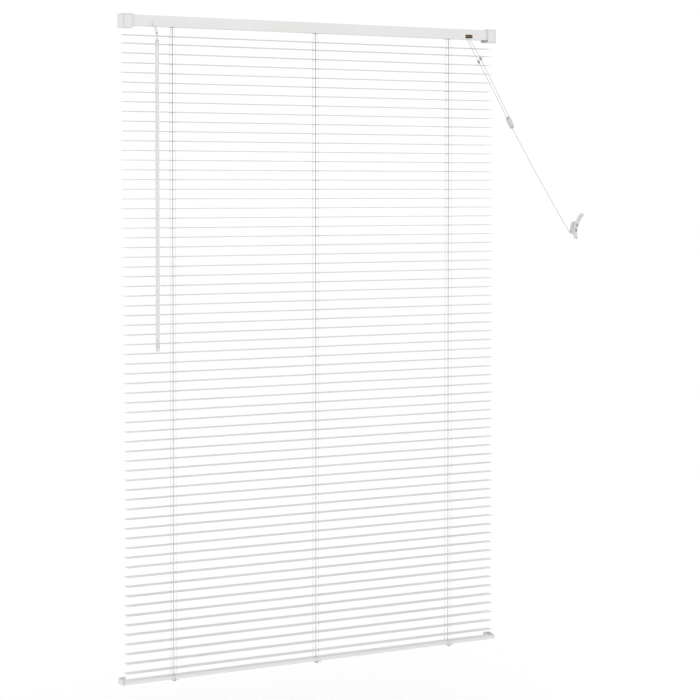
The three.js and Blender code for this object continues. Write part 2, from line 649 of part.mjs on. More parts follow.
LADDER_X.forEach((x, i) => {
  const name = SIDE_NAMES[i];
  add(`drum_${name}`, tiltDrum(x), plastic(0xe4e4e0));
  add(`cradle_${name}`, drumCradle(x), plastic(0xdfe0de));
  add(`ladder_front_${name}`, ladderCord(x, -1), fibre(0xdadad6));
  add(`ladder_rear_${name}`, ladderCord(x, 1), fibre(0xdadad6));
  add(`lift_cord_${name}`, liftCord(x, CORD_LANES[i]), fibre(0xc9c9c6));
  add(`ladder_clip_${name}`, ladderClip(x), plastic(0xd2d2cf));
});

// Every sixth slat is made, and carries the metal of those between.
const slatsMade = (SLAT_COUNT - 1) / SLAT_STEP + 1;
const slatMetal = SLAT_METAL * SLAT_COUNT / slatsMade;
for (let index = 0; index < SLAT_COUNT; index += SLAT_STEP) {
  add(`slat_${String(index + 1).padStart(2, '0')}`, slat(index, slatMetal), white);
}

add('bottom_rail', bottomRail(), white);
add('pull_cord_left', tube(leftPull, PULL_CORD), fibre(0xe0e0dd));
add('pull_cord_right', tube(rightPull, PULL_CORD), fibre(0xe0e0dd));
add('cord_stop_left', cordStop(leftPull, STOP_AT), plastic(0xaeb0b1, 0.25));
add('cord_stop_right', cordStop(rightPull, STOP_AT), plastic(0xaeb0b1, 0.25));
add('cord_joiner', cordJoiner(), plastic(0xd9dadb, 0.3));
add('tail_cord', tube([...tailStart, ...cleatTurn().map(fromCleat)], TAIL_CORD), fibre(0xe0e0dd));
add('cord_cleat', cordCleat(), plastic(0xd6d7d8, 0.3));
add('cleat_screw_upper', cleatScrew(1), metal(0xc9cacb));
add('cleat_screw_lower', cleatScrew(-1), metal(0xc9cacb));

const leftBracketMiddle = -(HEADRAIL_LENGTH / 2 + GAP + PLATE - BRACKET_WIDTH / 2);
centred.position.set(-leftBracketMiddle, -WALL_Y, -(BRACKET_TOP + BRACKET_BOTTOM) / 2);

const blind = new THREE.Group();
blind.add(centred);
blind.updateMatrixWorld(true);

export default blind;
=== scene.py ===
# Venetian blind with 25 mm slats, wand tilter, cord lock, wall cleat and hold-down brackets.
# Shapes are worked out in millimetres in the blind's own frame: X from its middle, Y from the
# slats' middle, Z from the headrail's top. at() turns such a place into the frame's metres.
import json
import math
import random

import bmesh
import bpy
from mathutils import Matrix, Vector


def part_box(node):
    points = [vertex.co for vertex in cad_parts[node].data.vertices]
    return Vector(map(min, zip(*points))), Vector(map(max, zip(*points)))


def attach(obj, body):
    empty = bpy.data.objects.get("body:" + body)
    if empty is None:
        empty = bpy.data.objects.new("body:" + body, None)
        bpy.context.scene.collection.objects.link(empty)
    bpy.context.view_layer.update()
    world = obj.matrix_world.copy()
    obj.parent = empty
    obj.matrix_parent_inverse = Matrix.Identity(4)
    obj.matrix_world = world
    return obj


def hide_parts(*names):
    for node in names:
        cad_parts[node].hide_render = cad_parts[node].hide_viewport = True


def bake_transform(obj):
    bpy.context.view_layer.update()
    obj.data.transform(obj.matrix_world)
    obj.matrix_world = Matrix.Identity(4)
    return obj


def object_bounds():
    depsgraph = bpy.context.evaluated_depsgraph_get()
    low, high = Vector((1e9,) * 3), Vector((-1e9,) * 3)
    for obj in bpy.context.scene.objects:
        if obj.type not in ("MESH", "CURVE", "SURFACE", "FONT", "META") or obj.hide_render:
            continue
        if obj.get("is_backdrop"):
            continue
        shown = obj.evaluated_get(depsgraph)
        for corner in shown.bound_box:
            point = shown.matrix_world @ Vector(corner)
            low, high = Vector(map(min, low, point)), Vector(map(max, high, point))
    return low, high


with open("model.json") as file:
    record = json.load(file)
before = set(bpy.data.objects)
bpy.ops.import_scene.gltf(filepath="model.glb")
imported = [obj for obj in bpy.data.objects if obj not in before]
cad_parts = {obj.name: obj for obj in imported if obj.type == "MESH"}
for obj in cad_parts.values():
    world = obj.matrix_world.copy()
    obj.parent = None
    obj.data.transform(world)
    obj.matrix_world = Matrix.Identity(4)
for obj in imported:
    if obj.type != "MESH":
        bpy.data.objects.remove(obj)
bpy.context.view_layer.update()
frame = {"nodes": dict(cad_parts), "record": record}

# ---- dimensions, from the frame
MM = 0.001
FIRST_LOW, FIRST_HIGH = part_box("slat_01")
SEVENTH_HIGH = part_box("slat_07")[1]
LAST_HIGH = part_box("slat_67")[1]
RAIL_LOW, RAIL_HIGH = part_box("bottom_rail")
MIDDLE_X = (FIRST_LOW.x + FIRST_HIGH.x) / 2
MIDDLE_Y = (FIRST_LOW.y + FIRST_HIGH.y) / 2
TOP_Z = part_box("headrail")[1].z
WALL_Y = (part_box("bracket_left")[1].y - MIDDLE_Y) / MM

SLAT_LENGTH = (FIRST_HIGH.x - FIRST_LOW.x) / MM
SLAT_WIDTH = (FIRST_HIGH.y - FIRST_LOW.y) / MM
SLAT_CROWN = 1.7
SLAT_METAL = 0.22
SLAT_COUNT = 67
# Every sixth slat is a CAD node.
SLAT_STEP = 6
SLAT_PITCH = (SEVENTH_HIGH.z - LAST_HIGH.z) / MM / (SLAT_COUNT - 1 - SLAT_STEP)
FIRST_SLAT_Z = (FIRST_HIGH.z - TOP_Z) / MM - SLAT_CROWN / 2
SECOND_SLAT_Z = (SEVENTH_HIGH.z - TOP_Z) / MM - SLAT_CROWN / 2 + (SLAT_STEP - 1) * SLAT_PITCH
CAD_SLATS = [f"slat_{number:02d}" for number in range(1, SLAT_COUNT + 1, SLAT_STEP)]

SIDES = ("left", "middle", "right")
ENDS = ("left", "right")
LADDER_HALF = 13.5
LADDER_TOP_HALF = 8
RAIL_TOP = (RAIL_HIGH.z - TOP_Z) / MM
RAIL_BOTTOM = (RAIL_LOW.z - TOP_Z) / MM
LADDER_CORD = 0.8
RUNG = 0.56
LIFT_CORD = 1.4
PULL_CORD = 1.4
TAIL_CORD = 2
# The route point that each cord stop sits on.
STOP_AT = 8
CLEAT_LEAN = math.radians(15)


def at(x, y, z):
    return Vector((MIDDLE_X + x * MM, MIDDLE_Y + y * MM, TOP_Z + z * MM))


def here(point):
    """A place in the frame's metres, turned into the blind's millimetres."""
    return Vector(((point.x - MIDDLE_X) / MM, (point.y - MIDDLE_Y) / MM, (point.z - TOP_Z) / MM))


def middle_of(node):
    low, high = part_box(node)
    return here((low + high) / 2)


def slat_z(index):
    return FIRST_SLAT_Z if index == 0 else SECOND_SLAT_Z - (index - 1) * SLAT_PITCH


LADDER_X = [middle_of(f"ladder_front_{side}").x for side in SIDES]
LOCK = middle_of("lock_roller")
BODY_OF = {node: body for body, nodes in frame["record"]["behaviour"]["bodies"].items() for node in nodes}


# ---- camera
def make_camera():
    data = bpy.data.cameras.new("camera")
    data.sensor_width = 36
    data.lens = 115.71
    data.shift_y = -0.13
    data.clip_end = 60
    camera = bpy.data.objects.new("camera", data)
    camera.location = at(-2668.4, -4493.7, -386.4)
    camera.rotation_euler = (math.radians(90 - 1.76), 0, math.radians(-31.577))
    bpy.context.collection.objects.link(camera)
    bpy.context.scene.camera = camera


make_camera()


# ---- node helpers
def linear(*levels):
    """Screen levels from 0 to 255, as linear light."""
    out = []
    for level in levels:
        part = level / 255
        out.append(part / 12.92 if part <= 0.04045 else ((part + 0.055) / 1.055) ** 2.4)
    return (*out, 1)


class Finish:
    """A material under construction: a node tree and its Principled shader."""

    def __init__(self, name, roughness=0.4, metallic=0.0):
        self.material = bpy.data.materials.new(name)
        self.material.use_nodes = True
        self.tree = self.material.node_tree
        self.shader = next(n for n in self.tree.nodes if n.type == "BSDF_PRINCIPLED")
        self.shader.inputs["Roughness"].default_value = roughness
        self.shader.inputs["Metallic"].default_value = metallic

    def link(self, output, socket):
        self.tree.links.new(output, socket)

    def set(self, **sockets):
        for name, value in sockets.items():
            self.shader.inputs[name.replace("_", " ")].default_value = value

    def coords(self, stretch=(1, 1, 1)):
        place = self.tree.nodes.new("ShaderNodeTexCoord")
        mapping = self.tree.nodes.new("ShaderNodeMapping")
        mapping.inputs["Scale"].default_value = stretch
        self.link(place.outputs["Object"], mapping.inputs["Vector"])
        return mapping.outputs["Vector"]

    def noise(self, scale, detail=3, stretch=(1, 1, 1), rough=0.5):
        node = self.tree.nodes.new("ShaderNodeTexNoise")
        node.inputs["Scale"].default_value = scale
        node.inputs["Detail"].default_value = detail
        node.inputs["Roughness"].default_value = rough
        self.link(self.coords(stretch), node.inputs["Vector"])
        return node.outputs["Fac"]

    def cells(self, scale):
        node = self.tree.nodes.new("ShaderNodeTexVoronoi")
        node.inputs["Scale"].default_value = scale
        self.link(self.coords(), node.inputs["Vector"])
        return node.outputs["Distance"]

    def math(self, operation, first, second=None):
        node = self.tree.nodes.new("ShaderNodeMath")
        node.operation = operation
        for socket, value in zip(node.inputs, (first, second)):
            if value is None:
                continue
            if isinstance(value, (int, float)):
                socket.default_value = value
            else:
                self.link(value, socket)
        return node.outputs["Value"]

    def ranged(self, value, low, high, start=0.0, end=1.0):
        node = self.tree.nodes.new("ShaderNodeMapRange")
        node.inputs["From Min"].default_value = start
        node.inputs["From Max"].default_value = end
        node.inputs["To Min"].default_value = low
        node.inputs["To Max"].default_value = high
        self.link(value, node.inputs["Value"])
        return node.outputs["Result"]

    def ramp(self, value, *stops):
        node = self.tree.nodes.new("ShaderNodeValToRGB")
        elements = node.color_ramp.elements
        while len(elements) < len(stops):
            elements.new(0.5)
        for element, (place, colour) in zip(elements, stops):
            element.position = place
            element.color = colour
        self.link(value, node.inputs["Fac"])
        return node.outputs["Color"]

    def colour(self, output):
        self.link(output, self.shader.inputs["Base Color"])

    def roughness(self, value, low, high):
        self.link(self.ranged(value, low, high), self.shader.inputs["Roughness"])

    def bump(self, height, strength, depth_mm):
        node = self.tree.nodes.new("ShaderNodeBump")
        node.inputs["Strength"].default_value = strength
        node.inputs["Distance"].default_value = depth_mm * MM
        self.link(height, node.inputs["Height"])
        before = self.shader.inputs["Normal"].links
        if before:
            self.link(before[0].from_socket, node.inputs["Normal"])
        self.link(node.outputs["Normal"], self.shader.inputs["Normal"])

    def paler(self, colour, level):
        """A colour that goes most of the way to a paler one from the blind's top to its bottom."""
        most = 0.75
        place = self.tree.nodes.new("ShaderNodeTexCoord")
        split = self.tree.nodes.new("ShaderNodeSeparateXYZ")
        self.link(place.outputs["Object"], split.inputs["Vector"])
        mix = self.tree.nodes.new("ShaderNodeMix")
        mix.data_type = "RGBA"
        share = self.ranged(split.outputs["Z"], most, 0, TOP_Z + RAIL_TOP * MM, TOP_Z)
        self.link(share, mix.inputs["Factor"])
        self.link(colour, mix.inputs["A"])
        mix.inputs["B"].default_value = linear(level, level, level)
        return mix.outputs["Result"]

    def braid(self, strands, pitch):
        """Height of a round braid, from a UV map whose V is millimetres along the cord."""
        uv = self.tree.nodes.new("ShaderNodeUVMap")
        split = self.tree.nodes.new("ShaderNodeSeparateXYZ")
        self.link(uv.outputs["UV"], split.inputs["Vector"])
        round_turn = self.math("MULTIPLY", split.outputs["X"], strands * 2 * math.pi)
        waves = []
        for way in (1, -1):
            along = self.math("MULTIPLY", split.outputs["Y"], way * 2 * math.pi / pitch)
            waves.append(self.math("SINE", self.math("ADD", round_turn, along)))
        return self.ranged(self.math("MAXIMUM", *waves), 0, 1, -0.6, 1)


def enamel(name, light, dark, gloss=0.3):
    """Roller-coated enamel: faint rolling lines along X, orange peel, soft changes of tone."""
    finish = Finish(name)
    finish.set(Coat_Weight=0.12, Coat_Roughness=0.18, IOR=1.5)
    tone = finish.noise(9, detail=4, stretch=(0.5, 2, 2))
    finish.colour(finish.ramp(tone, (0.3, linear(*dark)), (0.7, linear(*light))))
    finish.roughness(finish.noise(60, detail=5, stretch=(0.15, 1, 1)), gloss, gloss + 0.16)
    finish.bump(finish.noise(700, detail=2), 0.16, 0.05)
    finish.bump(finish.noise(1500, detail=2, stretch=(0.01, 1, 1)), 0.10, 0.03)
    return finish.material


def moulded(name, light, dark, gloss=0.4):
    """Injection-moulded plastic: a fine spark-eroded grain and slight flow marks."""
    finish = Finish(name)
    finish.set(IOR=1.49)
    flow = finish.noise(45, detail=5, rough=0.6)
    finish.colour(finish.ramp(flow, (0.3, linear(*dark)), (0.72, linear(*light))))
    finish.roughness(finish.noise(240, detail=4), gloss, gloss + 0.18)
    finish.bump(finish.noise(3200, detail=3), 0.2, 0.04)
    finish.bump(flow, 0.1, 0.15)
    return finish.material


def braided(name, light, dark, strands, pitch, paler_level=None):
    """Round braided polyester: crossing fuzzy strands with painted shade in the grooves between them,
    going over to a paler level low down.
    """
    finish = Finish(name, roughness=0.8)
    finish.set(Sheen_Weight=0.35, Sheen_Roughness=0.5, Specular_IOR_Level=0.3)
    height = finish.braid(strands, pitch)
    # Painted shade: the braid's grooves are coloured darker than its strands.
    colour = finish.ramp(height, (0.05, linear(*dark)), (0.75, linear(*light)))
    if paler_level:
        colour = finish.paler(colour, paler_level)
    finish.colour(colour)
    finish.roughness(finish.noise(2500, detail=3), 0.68, 0.92)
    finish.bump(height, 0.9, 0.12)
    finish.bump(finish.noise(9000, detail=3), 0.35, 0.03)
    return finish.material


def zinc_steel():
    finish = Finish("rod_steel", metallic=1.0)
    spangle = finish.cells(260)
    finish.colour(finish.ramp(spangle, (0.0, linear(150, 152, 155)), (0.8, linear(200, 202, 204))))
    finish.roughness(finish.noise(130, detail=5, stretch=(0.1, 1, 1)), 0.28, 0.5)
    finish.bump(finish.noise(1200, detail=3, stretch=(0.02, 1, 1)), 0.3, 0.03)
    return finish.material


def roller_brass():
    finish = Finish("roller_brass", metallic=1.0)
    tarnish = finish.noise(420, detail=6, rough=0.65)
    finish.colour(finish.ramp(
        tarnish, (0.3, linear(78, 64, 48)), (0.55, linear(134, 112, 78)), (0.8, linear(166, 146, 106))))
    finish.roughness(tarnish, 0.28, 0.55)
    finish.bump(tarnish, 0.25, 0.04)
    return finish.material


def screw_steel():
    finish = Finish("screw_steel", metallic=1.0)
    brushed = finish.noise(1600, detail=3, stretch=(1, 0.2, 0.2))
    finish.colour(finish.ramp(brushed, (0.3, linear(176, 177, 178)), (0.7, linear(214, 215, 216))))
    finish.roughness(brushed, 0.22, 0.4)
    finish.bump(brushed, 0.2, 0.02)
    return finish.material


def wand_plastic():
    """Translucent acrylic, drawn as a rod, with faint draw lines along it."""
    finish = Finish("wand_clear")
    finish.set(IOR=1.49, Transmission_Weight=0.12, Coat_Weight=0.3, Coat_Roughness=0.08)
    draw = finish.noise(900, detail=3, stretch=(1, 1, 0.01))
    finish.colour(finish.ramp(draw, (0.3, linear(222, 223, 224)), (0.7, linear(236, 236, 237))))
    finish.roughness(finish.noise(300, detail=4), 0.14, 0.26)
    finish.bump(draw, 0.25, 0.04)
    return finish.material


def frosted(name, light, dark):
    """Cloudy moulded plastic, or a plain dark grey used as painted shade, with no clear grain."""
    finish = Finish(name)
    finish.set(IOR=1.49, Coat_Weight=0.2)
    cloud = finish.noise(160, detail=4)
    finish.colour(finish.ramp(cloud, (0.3, linear(*dark)), (0.7, linear(*light))))
    finish.roughness(cloud, 0.2, 0.36)
    finish.bump(finish.noise(2600, detail=2), 0.15, 0.03)
    return finish.material


FINISHES = {
    "slat_paint": enamel("slat_paint", (224, 224, 224), (218, 218, 218), gloss=0.34),
    "headrail_paint": enamel("headrail_paint", (225, 225, 224), (221, 221, 220), gloss=0.3),
    "bracket_paint": enamel("bracket_paint", (224, 224, 224), (219, 219, 219), gloss=0.28),
    "rail_paint": enamel("rail_paint", (226, 226, 225), (220, 220, 219), gloss=0.3),
    # In each braided cord the darker level is painted shade in the grooves between strands.
    "ladder_cord": braided("ladder_cord", (230, 230, 228), (196, 196, 194), 3, 1.6),
    # The lift cord's dark grey is painted shade from the gaps between slats it runs through; low down it
    # goes most of the way to a paler level.
    "lift_cord": braided("lift_cord", (164, 164, 163), (112, 112, 111), 4, 2.2, paler_level=214),
    "pull_cord": braided("pull_cord", (202, 202, 200), (150, 150, 149), 4, 2.2),
    "tail_cord": braided("tail_cord", (216, 216, 214), (176, 176, 174), 4, 2.6),
    "rod_steel": zinc_steel(),
    "roller_brass": roller_brass(),
    "screw_steel": screw_steel(),
    "wand_clear": wand_plastic(),
    "stem_grey": frosted("stem_grey", (226, 226, 226), (214, 214, 214)),
    "eye_grey": frosted("eye_grey", (196, 196, 197), (180, 180, 181)),
    # The rims and the door barrels take this darker paint as painted shade along their lines.
    "rim_painted_shade": enamel("rim_painted_shade", (212, 212, 211), (207, 207, 206), gloss=0.3),
    # Dark grey painted as shade, on the brackets' inner plate edges and as a block under the headrail.
    "edge_shade_grey": frosted("edge_shade_grey", (176, 176, 175), (162, 162, 161)),
    # Dark grey painted as shadow, beside and under the ladder clips.
    "clip_shadow_grey": frosted("clip_shadow_grey", (172, 171, 168), (150, 149, 147)),
    "stop_grey": frosted("stop_grey", (172, 172, 173), (152, 152, 153)),
    "joiner_plastic": frosted("joiner_plastic", (208, 208, 209), (196, 196, 197)),
    "joiner_band": frosted("joiner_band", (186, 186, 187), (170, 170, 171)),
    "cleat_plastic": frosted("cleat_plastic", (216, 216, 217), (202, 202, 203)),
    "trim_plastic": moulded("trim_plastic", (226, 226, 225), (218, 218, 217), gloss=0.34),
    "works_plastic": moulded("works_plastic", (224, 223, 219), (214, 213, 208), gloss=0.42),
}


# ---- shape helpers
class Shape:
    """Points, faces and UVs of one piece, in the blind's millimetres."""

    def __init__(self):
        self.points = []
        self.faces = []
        self.uvs = []

    def add(self, points, faces, uvs=None):
        first = len(self.points)
        self.points += points
        self.faces += [[first + i for i in face] for face in faces]
        self.uvs += uvs or [[(0, 0)] * len(face) for face in faces]
        return self


def piece(name, shape, slot, body=None, replaces=(), finish=None):
    """A new object from a shape, dressed; without a body it is left unattached."""
    mesh = bpy.data.meshes.new(name)
    mesh.from_pydata([at(*p) for p in shape.points], [], shape.faces)
    layer = mesh.uv_layers.new(name="UVMap")
    for loop, uv in zip(layer.data, [uv for face in shape.uvs for uv in face]):
        loop.uv = uv
    made = bpy.data.objects.new(name, mesh)
    bpy.context.collection.objects.link(made)
    return dressed(made, slot, body, replaces, finish)


def dressed(made, slot, body, replaces, finish=None):
    """Gives a made object its finish, named by finish or else by slot, and its body, and takes out the CAD
    nodes it stands for.
    """
    made.data.materials.clear()
    made.data.materials.append(FINISHES[finish or slot])
    made.data.shade_smooth()
    if body:
        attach(made, body)
    if replaces:
        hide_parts(*replaces)
    return made


def sweep(points, radius, sides=10):
    """A round tube along points, with closed ends and V in millimetres along it."""
    points = [Vector(p) for p in points]
    ways = [(b - a).normalized() for a, b in zip(points, points[1:])]
    ways = [ways[0]] + [(a + b).normalized() for a, b in zip(ways, ways[1:])] + [ways[-1]]
    side = ways[0].orthogonal().normalized()
    rings, along, done = [], [], 0.0
    for i, (point, way) in enumerate(zip(points, ways)):
        if i:
            side = ways[i - 1].rotation_difference(way) @ side
            done += (point - points[i - 1]).length
        side = (side - way * side.dot(way)).normalized()
        other = way.cross(side)
        turns = [2 * math.pi * k / sides for k in range(sides)]
        rings.append([
            point + side * (radius * math.cos(t)) + other * (radius * math.sin(t)) for t in turns])
        along.append(done)
    faces, uvs = [], []
    for i in range(len(points) - 1):
        for k in range(sides):
            after = (k + 1) % sides
            faces.append([i * sides + k, i * sides + after, (i + 1) * sides + after, (i + 1) * sides + k])
            uvs.append([(k / sides, along[i]), ((k + 1) / sides, along[i]),
                        ((k + 1) / sides, along[i + 1]), (k / sides, along[i + 1])])
    last = (len(points) - 1) * sides
    for cap in (list(range(sides))[::-1], [last + k for k in range(sides)]):
        faces.append(cap)
        uvs.append([(0, 0)] * sides)
    return [p for ring in rings for p in ring], faces, uvs


def lathe(profile, place, way=(0, 0, 1), sides=48, around=None):
    """A turned solid from (radius, height) points, standing at place along way."""
    turn = Vector((0, 0, 1)).rotation_difference(Vector(way).normalized())
    points, faces = [], []
    for radius, height in profile:
        for k in range(sides):
            angle = 2 * math.pi * k / sides
            reach = radius * (around(angle) if around else 1)
            spot = Vector((reach * math.cos(angle), reach * math.sin(angle), height))
            points.append(Vector(place) + turn @ spot)
    for i in range(len(profile) - 1):
        for k in range(sides):
            after = (k + 1) % sides
            faces.append([i * sides + k, i * sides + after, (i + 1) * sides + after, (i + 1) * sides + k])
    last = (len(profile) - 1) * sides
    faces.append(list(range(sides))[::-1])
    faces.append([last + k for k in range(sides)])
    return points, faces


def smooth_route(points, steps=4):
    """Points along a Catmull-Rom curve through a route's own points."""
    points = [Vector(p) for p in points]
    ends = [2 * points[0] - points[1]] + points + [2 * points[-1] - points[-2]]
    out = []
    for a, b, c, d in zip(ends, ends[1:], ends[2:], ends[3:]):
        for i in range(steps):
            t = i / steps
            out.append(0.5 * (2 * b + (c - a) * t + (2 * a - 5 * b + 4 * c - d) * t * t
                              + (3 * b - a - 3 * c + d) * t ** 3))
    return out + [points[-1]]


def soften(made, width_mm, segments=2):
    """Rounds the edges of a made piece and keeps its flat faces flat."""
    sharpest = 28
    bevel = made.modifiers.new("edges", "BEVEL")
    bevel.width = width_mm * MM
    bevel.segments = segments
    bevel.limit_method = "ANGLE"
    bevel.angle_limit = math.radians(sharpest)
    bevel.use_clamp_overlap = True
    normals = made.modifiers.new("normals", "WEIGHTED_NORMAL")
    normals.keep_sharp = False
    return made


def refined(node, slot, width_mm, finish=None):
    """A CAD node's own shape with its flat faces whole and its edges rounded."""
    mesh = frame["nodes"][node].data.copy()
    net = bmesh.new()
    net.from_mesh(mesh)
    bmesh.ops.remove_doubles(net, verts=net.verts, dist=1e-6)
    bmesh.ops.dissolve_limit(net, angle_limit=math.radians(1), verts=net.verts, edges=net.edges)
    net.to_mesh(mesh)
    net.free()
    made = bpy.data.objects.new(f"{node}_finish", mesh)
    bpy.context.collection.objects.link(made)
    dressed(made, slot, BODY_OF[node], [node], finish)
    return soften(made, width_mm)


# ---- free cords: two pull cords, their stops and joiner, and the tail to the cleat
LEFT_PULL = [
    (420.5, -9.2, -21.6), (420.4, -9.6, -24.5), (420.2, -10.6, -26.8), (420.5, -12.4, -29.4),
    (421.6, -13.8, -32.4), (423.6, -14.4, -36), (431, -14.5, -47.6), (440.4, -14.5, -62.4),
    (450, -14.4, -77.3), (462, -14.4, -96), (474, -14.4, -114.8), (486, -14.4, -133.6),
    (497.5, -14.2, -151.7), (510, -13.6, -171.3), (521.5, -13, -189.6), (529.6, -12.4, -202.5),
    (534.4, -11.9, -210.2),
]
RIGHT_PULL = [
    (427.6, -9.2, -21.6), (427.5, -9.6, -24.5), (427.5, -10.6, -26.8), (428, -12.4, -29.4),
    (429.4, -13.8, -32.2), (431.6, -14.4, -35.4), (438, -14.5, -44.2), (446.6, -14.5, -56.2),
    (455.7, -14.4, -69.1), (467.4, -14.4, -88.1), (479.2, -14.4, -107.3), (491, -14.4, -126.5),
    (502.8, -14.1, -145.8), (514.6, -13.5, -165), (526.4, -12.8, -184.2), (534.6, -12.3, -197.5),
    (540.3, -11.9, -206.8),
]
TAIL_START = [
    (553.1, -11, -235.8), (557.1, -10.6, -242.6), (569.3, -9.5, -259.9), (584.9, -8.1, -282.5),
    (600.5, -6.7, -304.7), (616.1, -5.3, -326.6), (631.8, -3.9, -348.3), (647.5, -2.6, -369.8),
    (663.1, -1.2, -391), (678.8, 0.2, -411.9), (694.3, 1.6, -432.5), (710, 3.4, -452.7),
    (725.6, 5.5, -472.6), (736.4, 7, -485.8), (742.2, 7.7, -492), (746.4, 8, -495.2),
    (750.6, 8, -496),
]
JOINER_TOP = Vector((537.5, -11.9, -208.8))
JOINER_END = Vector((552.9, -11, -235.5))
CLEAT_MIDDLE = Vector((755, WALL_Y, -480.5))
CLEAT_WIDTH = 9


def from_cleat(across, out, along):
    """From the cleat's own frame (across, out of the wall, along) to the blind's."""
    return Vector((
        CLEAT_MIDDLE.x + across * math.cos(CLEAT_LEAN) + along * math.sin(CLEAT_LEAN),
        CLEAT_MIDDLE.y - out,
        CLEAT_MIDDLE.z - across * math.sin(CLEAT_LEAN) + along * math.cos(CLEAT_LEAN),
    ))


def cleat_turn():
    """The cord's turn round the cleat's neck, each corner an arc, climbing away from the wall."""
    across, along, corner = CLEAT_WIDTH / 2 + 2.2, 14.2, 4.2
    first_out, last_out = 6, 11.4
    corners = [(across, -along, 3), (across, along, 0), (-across, along, 1), (-across, -along, 2)]
    points = []
    for a, b, quarter in corners:
        for i in range(4):
            turn = (quarter + i / 3) * math.pi / 2
            points.append((
                a - math.copysign(corner, a) + corner * math.cos(turn),
                first_out + len(points) / 3,
                b - math.copysign(corner, b) + corner * math.sin(turn),
            ))
    points.append((across - corner, last_out, -along))
    return [from_cleat(*p) for p in points]


def free_cord(name, route, diameter, node, finish="pull_cord", **facts):
    path = smooth_route(route)
    shape = Shape().add(*sweep(path, diameter / 2, sides=12))
    made = piece(name, shape, "lift_cord", "fixed", [node], finish)


def cord_stop(side, route):
    """A bead threaded on the cord, lying along it."""
    bead = [(0.9, -4.2), (1.7, -4.25), (2.3, -3.9), (2.85, -2.9), (3.1, -1.6), (3.15, 0), (3.1, 1.6),
            (2.85, 2.9), (2.3, 3.9), (1.7, 4.25), (0.9, 4.2)]
    way = Vector(route[STOP_AT + 1]) - Vector(route[STOP_AT - 1])
    shape = Shape().add(*lathe(bead, route[STOP_AT], way))
    return piece(f"cord_stop_{side}_bead", shape, "stop_grey", BODY_OF[f"cord_stop_{side}"],
                 [f"cord_stop_{side}"])


def cord_joiner():
    """A two-part connector: a sleeve with a domed cap at each end, banded where they screw together."""
    length = (JOINER_END - JOINER_TOP).length
    way = JOINER_END - JOINER_TOP
    barrel = [(4.6, 4.6), (5.6, 4.8), (6.1, 5.4), (6.4, 6.6), (6.5, 9), (6.5, length - 9),
              (6.4, length - 6.6), (6.1, length - 5.4), (5.6, length - 4.8), (4.6, length - 4.6)]
    top_cap = [(1.2, 0.3), (3.4, 0.1), (4.6, 0.7), (5.2, 1.8), (5.4, 3), (5.4, 5), (4.4, 5.2)]
    end_cap = [(4.4, length - 5.2), (5.3, length - 5), (5.3, length - 3), (5.0, length - 1.7),
               (4.2, length - 0.6), (3.0, length - 0.1), (1.2, length - 0.3)]
    body = BODY_OF["cord_joiner"]
    main = piece("cord_joiner_barrel", Shape().add(*lathe(barrel, JOINER_TOP, way)), "joiner_plastic",
                 body, ["cord_joiner"])
    caps = Shape().add(*lathe(top_cap, JOINER_TOP, way)).add(*lathe(end_cap, JOINER_TOP, way))
    ends = piece("cord_joiner_caps", caps, "joiner_plastic", body, finish="joiner_band")
    return [main, ends]


stops = {side: cord_stop(side, route) for side, route in (("left", LEFT_PULL), ("right", RIGHT_PULL))}
joiner = cord_joiner()
free_cord("pull_cord_left_braid", LEFT_PULL, PULL_CORD, "pull_cord_left", far_end="object", lay="taut",
          with_pieces=[stops["left"], *joiner])
free_cord("pull_cord_right_braid", RIGHT_PULL, PULL_CORD, "pull_cord_right", far_end="object", lay="taut",
          with_pieces=[stops["right"]])
free_cord("tail_cord_braid", TAIL_START + cleat_turn(), TAIL_CORD, "tail_cord", finish="tail_cord",
          far_end="object", lay="taut")


# ---- slats
def slat_stations():
    """Places along the slat: its rounded ends, the route holes, and steps between them."""
    closest = 0.3
    end = SLAT_LENGTH / 2
    places = {s * (end - back) for s in (-1, 1) for back in (0, 0.35, 1, 1.9, 3)}
    places |= {x + off for x in LADDER_X for off in (-14, -2, 0, 2, 14)}
    steps = 14
    places |= {round(-end + SLAT_LENGTH * i / steps, 3) for i in range(1, steps)}
    ordered = sorted(places)
    kept = ordered[:1]
    for place in ordered[1:]:
        if place - kept[-1] > closest:
            kept.append(place)
    return kept


STATIONS = slat_stations()
ACROSS = [-12.5, -11.7, *range(-10, 11, 2), 11.7, 12.5]
HOLE_HALF = (2, 6)
END_RADIUS = 3
RIPPLE_LENGTH = 150
# The distance from the slat's middle at which its lift is given.
LIFT_AT = 500


